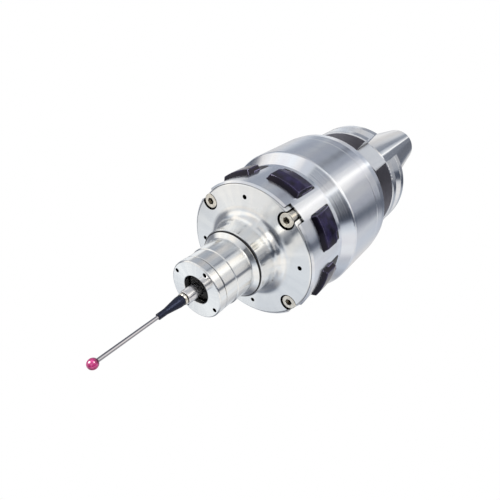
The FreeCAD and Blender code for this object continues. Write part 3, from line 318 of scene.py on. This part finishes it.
def ruby():
    """Synthetic ruby, lapped and polished: deep clear pink, with painted shade where the stem's end would
    show through.
    """
    material, tree = new_material("polished_synthetic_ruby")
    where = add(tree, "ShaderNodeTexCoord").outputs["Object"]
    height = add(tree, "ShaderNodeSeparateXYZ", Vector=where).outputs[2]
    painted_stem_shade = add(tree, "ShaderNodeMapRange", SOFT, Value=height, From_Min=RUBY_CLEAR, From_Max=RUBY_DARK)
    veils = add(tree, "ShaderNodeTexNoise", Vector=where, Scale=1 / (1.6 * MM), Detail=1.0)
    clouds = add(tree, "ShaderNodeMapRange", Value=veils, **CONTRAST)
    clear = add(tree, "ShaderNodeMix", COLOURS, Factor=clouds, A=linear("#c03a80"), B=linear("#8e0c50"))
    colour = add(tree, "ShaderNodeMix", COLOURS, Factor=painted_stem_shade, A=clear, B=linear("#3c0626"))
    finish = add(tree, "ShaderNodeBsdfPrincipled", Base_Color=colour, Roughness=0.03, IOR=1.77,
                 Transmission_Weight=0.2)
    add(tree, "ShaderNodeOutputMaterial", Surface=finish)
    return material


def sealing_compound():
    # Black silicone sealant, wiped flat: nearly black, with the soft sheen of a cured skin.
    return patterned("wiped_silicone_sealant", 1.5 * MM, "#121118", "#1d1b24", (0.35, 0.5), 0.03 * MM,
                     IOR=1.42)


def circuit_board(name, pale, deep):
    """Glass cloth or film under lacquer. A real weave of 0.4 mm is drawn at 0.8 mm so that it shows."""
    material, tree = new_material(name)
    where = add(tree, "ShaderNodeTexCoord")
    weave = add(tree, "ShaderNodeTexVoronoi", {"distance": "CHEBYCHEV"}, Vector=where.outputs["Object"],
                Scale=1 / (0.8 * MM), Randomness=0.15)
    colour = add(tree, "ShaderNodeMix", COLOURS, Factor=weave, A=linear(pale), B=linear(deep))
    roughness = add(tree, "ShaderNodeMapRange", Value=weave, To_Min=0.28, To_Max=0.42)
    bump = add(tree, "ShaderNodeBump", Strength=0.3, Distance=0.02 * MM, Height=weave)
    finish = add(tree, "ShaderNodeBsdfPrincipled", Base_Color=colour, Roughness=roughness, IOR=1.5,
                 Normal=bump)
    add(tree, "ShaderNodeOutputMaterial", Surface=finish)
    return material


def board_green():
    # Green solder lacquer over glass cloth.
    return circuit_board("green_solder_lacquer", "#1c5a38", "#2a7048")


def board_film():
    # Amber polyimide film of a flexible board.
    return circuit_board("amber_polyimide", "#a8661c", "#bb7a2c")


FINISHES = {
    "ground_steel": ground_steel(), "housing_steel": housing_steel(), "black_steel": black_steel(),
    "screw_steel": screw_steel(), "hard_steel": hard_steel(), "spring_steel": spring_steel(),
    "stem_carbide": stem_carbide(), "machined_aluminium": machined_aluminium(), "brass": brass(),
    "rubber": rubber(), "window_plastic": window_plastic(), "led_lens": led_lens(),
    "moulded_plastic": moulded_plastic(), "board_film": board_film(), "board_green": board_green(),
    "cell_can": cell_can(), "ruby": ruby(),
}
SLOT_OF = {part["node"]: part["material_slot"] for part in frame["record"]["subparts"]}
for name, node in nodes.items():
    for slot in node.material_slots:
        slot.material = FINISHES[SLOT_OF[name]]
handled = nose_steel()
for name in ("front_cover", "nose_sleeve", "nose_cap"):
    nodes[name].material_slots[0].material = handled
nodes["stylus_holder"].material_slots[0].material = holder_steel()


# New pieces

def in_scene(name, data):
    """New object in the scene for a mesh, a lamp or the camera."""
    made = bpy.data.objects.new(name, data)
    bpy.context.scene.collection.objects.link(made)
    return made


def from_shape(name, shape, material):
    """New object with one material from a finished shape."""
    mesh = bpy.data.meshes.new(name)
    shape.to_mesh(mesh)
    shape.free()
    mesh.materials.append(material)
    return in_scene(name, mesh)


# Sealant behind the windows, on the ring's slightly conical face; the dark pads also stand for the shade
# there.

WINDOW_COUNT = 8
HEAD_TURN = math.radians(5)
SEAL_HALF_WIDTH = 8.5 * MM
SEAL_FRONT = -96.0 * MM
SEAL_REAR = -85.3 * MM
SEAL_CORNER = 0.9 * MM
SEAL_PROUD = 0.15 * MM
RING_REAR = -82.6 * MM
RING_REAR_RADIUS = 32.3 * MM
RING_FRONT = -109.3 * MM
RING_FRONT_RADIUS = 33.2 * MM


def window_seals_and_shade():
    """Thin pads of dark sealant that fill the ring behind the windows and in their cut-out corners; they also
    stand for the shade there.
    """
    compound = sealing_compound()
    pads = []
    for count in range(WINDOW_COUNT):
        middle = HEAD_TURN + (count + 0.5) * math.tau / WINDOW_COUNT
        shape = bmesh.new()
        bmesh.ops.create_grid(shape, x_segments=24, y_segments=6, size=1.0)
        bmesh.ops.scale(shape, verts=shape.verts, vec=(SEAL_HALF_WIDTH, (SEAL_REAR - SEAL_FRONT) / 2, 1.0))
        corners = [vert for vert in shape.verts if len(vert.link_edges) == 2]
        bmesh.ops.bevel(shape, geom=corners, affect="VERTICES", offset=SEAL_CORNER, segments=4,
                        profile=0.5, material=-1)
        bmesh.ops.translate(shape, verts=shape.verts, vec=(0, (SEAL_REAR + SEAL_FRONT) / 2, SEAL_PROUD))
        bmesh.ops.solidify(shape, geom=shape.faces, thickness=2 * SEAL_PROUD)
        for vert in shape.verts:
            along, height, lift = vert.co
            share = (height - RING_REAR) / (RING_FRONT - RING_REAR)
            radius = RING_REAR_RADIUS + share * (RING_FRONT_RADIUS - RING_REAR_RADIUS)
            turn = middle + along / radius
            out = radius + lift
            vert.co = (out * math.cos(turn), out * math.sin(turn), height)
        bmesh.ops.recalc_face_normals(shape, faces=shape.faces)
        made = from_shape(f"window_seal_{count + 1}", shape, compound)
        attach(made, "probe_body")
        pads.append(made)
    return pads


# Studio

IMAGE_WIDTH = 500
SENSOR_WIDTH = 36.0
FOCAL_PIXELS = 420.8
CENTRE_COLUMN = 252.17
CAMERA_PLACE = Vector((140.50, 19.19, -236.55)) * MM
CAMERA_RIGHT = Vector((0.46329, 0.65172, 0.60051))
CAMERA_UP = Vector((0.49813, -0.75195, 0.43177))
CAMERA_BACK = CAMERA_RIGHT.cross(CAMERA_UP)
FLOOR_HEIGHT = -0.42
FLOOR_SIZE = 6.0


def camera():
    """Camera at the photograph's viewing angle: close, from below the hanging probe."""
    data = bpy.data.cameras.new("photo_camera")
    data.sensor_width = SENSOR_WIDTH
    data.lens = FOCAL_PIXELS * SENSOR_WIDTH / IMAGE_WIDTH
    data.shift_x = (IMAGE_WIDTH / 2 - CENTRE_COLUMN) / IMAGE_WIDTH
    data.clip_start = 0.005
    data.clip_end = 50.0
    made = in_scene("photo_camera", data)
    turn = Matrix((CAMERA_RIGHT, CAMERA_UP, CAMERA_BACK)).transposed().to_4x4()
    made.matrix_world = Matrix.Translation(CAMERA_PLACE) @ turn
    bpy.context.scene.camera = made


def floor():
    """Plain pale floor, below the camera, that keeps the shadow."""
    # Rolled matte paint: an even near white with the faintest cloudiness, 250 mm across.
    material, tree = new_material("pale_floor_paint")
    where = add(tree, "ShaderNodeTexCoord")
    mottle = add(tree, "ShaderNodeTexNoise", Vector=where.outputs["Object"], Scale=1 / (250 * MM))
    colour = add(tree, "ShaderNodeMix", COLOURS, Factor=mottle, A=linear("#eeeeee"), B=linear("#f2f2f2"))
    paint = add(tree, "ShaderNodeBsdfPrincipled", Base_Color=colour, Roughness=0.9)
    # The steel mirrors the room's own white floor, so that the cards show down to their feet.
    rays = add(tree, "ShaderNodeLightPath")
    clear = add(tree, "ShaderNodeBsdfTransparent")
    seen = add(tree, "ShaderNodeMixShader", n0=rays.outputs["Is Glossy Ray"], n1=paint, n2=clear)
    add(tree, "ShaderNodeOutputMaterial", Surface=seen)
    shape = bmesh.new()
    bmesh.ops.create_grid(shape, x_segments=1, y_segments=1, size=FLOOR_SIZE / 2)
    bmesh.ops.translate(shape, verts=shape.verts, vec=(0, 0, FLOOR_HEIGHT))
    made = from_shape("floor", shape, material)
    return made


# What the steel mirrors: a white room with soft panels and black cards standing in it, each given by compass
# angle and height in degrees. A later card stands in front of the earlier ones. A card leans by its slant, in
# degrees of angle for each degree of height.
ROOM_LEVEL = 0.86
CARDS = (
    # angle, half width, edge, height, half height, edge, slant, level
    (93, 47, 12, 84, 22, 3, 0.0, 0.20),        # dark ceiling over the right
    (30, 22, 6, 84, 11, 3, 0.0, 0.28),         # and beside the key panel
    (-34, 22, 8, 84, 11, 4, 0.0, 0.35),        # dark ceiling over the left
    (180, 48, 10, -44, 6, 6, 0.0, 0.88),       # far edge of the table behind
    (-156, 20, 12, -42, 6, 5, 0.0, 1.10),      # its brighter left end
    (180, 44, 12, -58, 8, 5, 0.0, 0.98),       # white table behind
    (-172, 14, 6, -66, 6, 4, 0.0, 0.06),       # tripod foot on it
    (-103, 19, 8, -42, 26, 8, -0.6, 1.30),     # white table, left
    (-145, 23, 8, -19, 19, 5, 0.5, 0.30),      # dark doorway behind, left
    (150, 22, 18, -10, 24, 8, -0.5, 0.24),     # dark doorway behind, right
    (-171, 14, 8, -32.5, 5, 3, 0.0, 1.18),     # white box at the far edge
    (-130, 20, 5, 36.5, 2.5, 1.5, 0.0, 1.22),  # bright lintel, left
    (138, 14, 6, 38, 2, 1.5, 0.0, 0.45),       # dark lintel, right
    (-118, 15, 4, 15, 7, 3, 0.0, 0.10),        # dark trolley, left
    (-62, 46, 5, 50, 18, 6, 0.0, 0.47),        # grey screen, left
    (-62, 34, 8, 59.5, 2, 1.5, 0.0, 0.30),     # its dark hem
    (-108, 28, 8, 67, 6.5, 2, 0.0, 1.10),      # bright slit over its left end
    (-56, 12, 8, 43, 3, 1.5, 0.0, 1.05),       # bright slit in the screen
    (-76, 30, 4, -6, 10, 3, 0.0, 1.28),        # low panel, left
    (-84, 5, 4, 14, 8, 4, 0.0, 1.12),          # its upright end
    (-24, 4, 4, 38, 6, 4, 0.0, 0.16),          # black edge of the screen, low
    (-40, 5, 6, 60, 4, 2, 0.0, 0.08),          # black edge of the screen, high
    (34, 16, 5, 58, 13, 6, 0.0, 0.60),         # grey screen, right
    (34, 16, 8, -54, 14, 6, 0.0, 0.62),        # its foot
    (86, 22, 6, 4, 52, 5, 0.0, 1.02),          # panel, right
    (108, 30, 8, 55, 5, 3, 0.0, 0.74),         # its weaker top
    (120, 32, 8, 60, 3, 2, 0.0, 0.62),         # and the frame over it
    (112, 14, 8, -5, 9, 5, 0.0, 0.58),         # the panel's weaker far side
    (108, 8, 5, 15, 5, 3, 0.0, 1.05),          # white frame beside it
    (104, 26, 8, -50, 16, 6, 0.0, 1.14),       # white table, right
    (63, 14, 14, 53, 6, 2.5, 1.0, 0.12),       # black card, top
    (84, 13, 10, 61, 4.5, 2, 1.0, 0.12),       # its upper end
    (59, 5, 4, 40, 8, 2.5, 0.3, 0.16),         # black card, shoulder height
    (50, 11, 6, 12, 18, 4, 0.1, 0.08),         # black card, middle
    (39, 15, 4, -14, 10, 3, 0.3, 0.08),        # black card, table height
    (56, 9, 4, -42, 18, 6, -0.3, 0.12),        # black card, foot
    (44, 9, 4, -44, 7, 4, 0.0, 0.12),          # and what leans on it
    (8, 11, 7, -8, 64, 4, 0.0, 1.38),          # key panel, a tall narrow strip
    (7, 11, 7, -41, 12, 5, 0.0, 1.75),         # its bright foot
    (3, 4, 6, 72, 17, 4, 0.0, 1.65),           # its top
    (-13, 18, 3, -18, 4.5, 2, 0.0, 0.28),      # shade on the table, left of the key panel
    (29, 19, 3, -19, 4.5, 2, 0.0, 0.04),       # shade on the table, right of it
    (0, 180, 1, -90, 18, 5, 0.0, 0.18),        # the dark lens hood straight below
    (24, 48, 6, -75, 10, 2.5, 0.0, 0.03),      # and its black side
    (-80, 40, 10, 22.5, 5, 2, 0.0, 0.32),      # three bars that the stem mirrors: dark,
    (14, 34, 8, 22.5, 5, 2, 0.0, 1.90),        # bright
    (92, 34, 8, 22.5, 5, 2, 0.0, 0.75),        # and grey
)


def soft_step(tree, value, centre, half, edge):
    """1 within half of the centre, falling softly to 0 over the edge."""
    offset = add(tree, "ShaderNodeMath", {"operation": "SUBTRACT"}, n0=value, n1=centre)
    wrapped = add(tree, "ShaderNodeMath", {"operation": "WRAP"}, n0=offset, n1=180.0, n2=-180.0)
    far = add(tree, "ShaderNodeMath", {"operation": "ABSOLUTE"}, n0=wrapped)
    return add(tree, "ShaderNodeMapRange", SOFT, Value=far, From_Min=half + edge, From_Max=half - edge)


def with_card(tree, level, angle, height, card):
    """The room's brightness with one more card standing in front of what is there."""
    middle_angle, half_width, side_edge, middle, half_height, end_edge, slant, brightness = card
    lean = add(tree, "ShaderNodeMath", {"operation": "MULTIPLY_ADD"}, n0=height, n1=-slant, n2=slant * middle)
    upright = add(tree, "ShaderNodeMath", {"operation": "ADD"}, n0=angle, n1=lean)
    across = soft_step(tree, upright, middle_angle, half_width, side_edge)
    along = soft_step(tree, height, middle, half_height, end_edge)
    mask = add(tree, "ShaderNodeMath", {"operation": "MULTIPLY"}, n0=across, n1=along)
    return add(tree, "ShaderNodeMix", Factor=mask, A=level, B=brightness)


# Powers of the level in red, green and blue: shade is a little bluer than light, as under daylight lamps.
SHADE_POWERS = (1.06, 1.0, 0.88)
MIRRORED_STRENGTH = 0.88
DIFFUSE_STRENGTH = 0.85
WHITE = (1.0, 1.0, 1.0, 1.0)


def studio():
    """White surroundings. Glossy rays see the room and its cards, matte surfaces get plain white light."""
    world = bpy.data.worlds.new("studio")
    bpy.context.scene.world = world
    world.use_nodes = True
    tree = world.node_tree
    tree.nodes.clear()
    where = add(tree, "ShaderNodeTexCoord")
    split = add(tree, "ShaderNodeSeparateXYZ", Vector=where.outputs["Generated"])
    turn = add(tree, "ShaderNodeMath", {"operation": "ARCTAN2"}, n0=split.outputs[1], n1=split.outputs[0])
    angle = add(tree, "ShaderNodeMath", {"operation": "DEGREES"}, n0=turn)
    rise = add(tree, "ShaderNodeMath", {"operation": "ARCSINE"}, n0=split.outputs[2])
    height = add(tree, "ShaderNodeMath", {"operation": "DEGREES"}, n0=rise)
    level = ROOM_LEVEL
    for card in CARDS:
        level = with_card(tree, level, angle, height, card)
    red, green, blue = [add(tree, "ShaderNodeMath", {"operation": "POWER"}, n0=level, n1=power)
                        for power in SHADE_POWERS]
    shade = add(tree, "ShaderNodeCombineColor", Red=red, Green=green, Blue=blue)
    # The room's colour drifts from warm to cool.
    drift = add(tree, "ShaderNodeTexNoise", Vector=where.outputs["Generated"], Scale=2.5, Detail=1.0)
    share = add(tree, "ShaderNodeMapRange", Value=drift, **CONTRAST)
    cast = add(tree, "ShaderNodeMix", COLOURS, Factor=share, A=linear("#fffaf4"), B=linear("#f7fbff"))
    mirrored = add(tree, "ShaderNodeMix", {"data_type": "RGBA", "blend_type": "MULTIPLY"},
                   Factor=1.0, A=shade, B=cast)
    rays = add(tree, "ShaderNodeLightPath")
    room = add(tree, "ShaderNodeBackground", Color=mirrored, Strength=MIRRORED_STRENGTH)
    plain = add(tree, "ShaderNodeBackground", Color=WHITE, Strength=DIFFUSE_STRENGTH)
    white = add(tree, "ShaderNodeBackground", Color=WHITE, Strength=1.0)
    through = add(tree, "ShaderNodeMath", {"operation": "MAXIMUM"},
                  n0=rays.outputs["Is Camera Ray"], n1=rays.outputs["Is Transmission Ray"])
    glossy = add(tree, "ShaderNodeMixShader", n0=rays.outputs["Is Glossy Ray"], n1=plain, n2=room)
    seen = add(tree, "ShaderNodeMixShader", n0=through, n1=glossy, n2=white)
    add(tree, "ShaderNodeOutputWorld", Surface=seen)


LAMP_TARGET = Vector((0, 0, -0.08))
# Each lamp's place is given from the target, as shares of the camera's right, up and back and a distance.
PIECE_LAMPS = (
    # name, right, up, back, distance, size, watts
    ("key_lamp", -0.5, 0.8, 0.5, 0.9, 0.5, 6.0),    # from the picture's upper left
    ("fill_lamp", 0.7, -0.4, 0.7, 0.9, 0.6, 3.0),   # from its lower right
)
GLINT_LAMPS = (
    ("left_glint_lamp", -0.74, 0.4, 0.55, 0.6, 0.2, 5.0),    # the bright glint on ball and windows
    ("right_glint_lamp", 0.44, 0.55, 0.69, 0.6, 0.14, 2.5),  # and the small one beside it
)
GLINTING = ("ruby_ball", "ir_windows", "breakaway_adapter", "stylus_base")
GLINT_DIFFUSE = 0.05
SUN_STRENGTH = 0.7
SUN_ANGLE = math.radians(12)
SUN_TURN = (math.radians(-14), math.radians(-16), 0)


def receivers(name, objects):
    """Collection of the objects that a lamp lights."""
    made = bpy.data.collections.new(name)
    for item in objects:
        made.objects.link(item)
    return made


def lamp(lit, name, right, up, back, distance, size, watts):
    """Soft disc lamp on some of the objects, aimed at the housing, that neither camera nor metal sees."""
    offset = (CAMERA_RIGHT * right + CAMERA_UP * up + CAMERA_BACK * back) * distance
    data = bpy.data.lights.new(name, "AREA")
    data.shape = "DISK"
    data.size = size
    data.energy = watts
    made = in_scene(name, data)
    aim = (-offset).to_track_quat("-Z", "Y").to_matrix().to_4x4()
    made.matrix_world = Matrix.Translation(LAMP_TARGET + offset) @ aim
    made.visible_camera = False
    made.visible_glossy = False
    made.light_linking.receiver_collection = lit
    return made


def lamps(seals, ground):
    """Key and fill on the pieces, two glints on the glassy and black ones, a sun for the floor's shadow."""
    pieces = receivers("lit_pieces", list(nodes.values()) + seals)
    for place in PIECE_LAMPS:
        lamp(pieces, *place)
    sparkling = receivers("sparkling_pieces", [nodes[name] for name in GLINTING])
    for place in GLINT_LAMPS:
        glint = lamp(sparkling, *place)
        glint.visible_glossy = True
        glint.data.diffuse_factor = GLINT_DIFFUSE
    sun = bpy.data.lights.new("floor_sun", "SUN")
    sun.energy = SUN_STRENGTH
    sun.angle = SUN_ANGLE
    overhead = in_scene("floor_sun", sun)
    overhead.rotation_euler = SUN_TURN
    overhead.light_linking.receiver_collection = receivers("sunlit_floor", [ground])


seals = window_seals_and_shade()
camera()
ground = floor()
studio()
lamps(seals, ground)
bpy.context.scene.view_settings.view_transform = "Standard"
